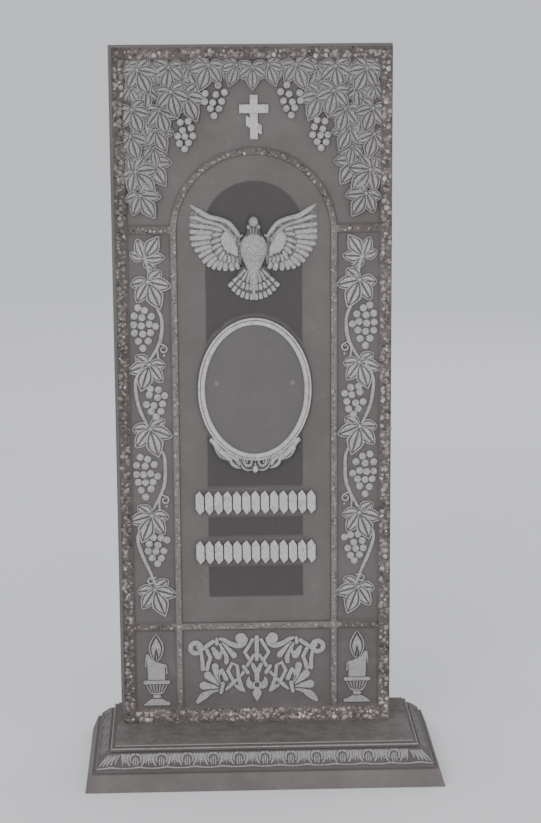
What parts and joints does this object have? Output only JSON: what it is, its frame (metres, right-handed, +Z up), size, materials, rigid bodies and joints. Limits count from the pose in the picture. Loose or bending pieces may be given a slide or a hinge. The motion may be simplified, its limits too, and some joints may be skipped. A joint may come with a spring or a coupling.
{
  "type": "grave stele",
  "caption": "Upright cast-concrete grave stele with vine, dove, oval frame and cross in low relief, standing on a moulded rectangular plinth.",
  "frame": {"origin": "middle of the plinth's underside", "axes": "+Z up, the carved front faces -Y, +X to the right of someone facing the front"},
  "size_m": [0.658, 0.338, 1.332],
  "materials": {
    "stele_concrete": "matt grey concrete, raised work brushed paler, borders of exposed stone chips",
    "plinth_concrete": "matt grey-brown concrete with paler high edges"
  },
  "bodies": {
    "root": {"stele": "stele_concrete", "plinth": "plinth_concrete"}
  },
  "joints": []
}
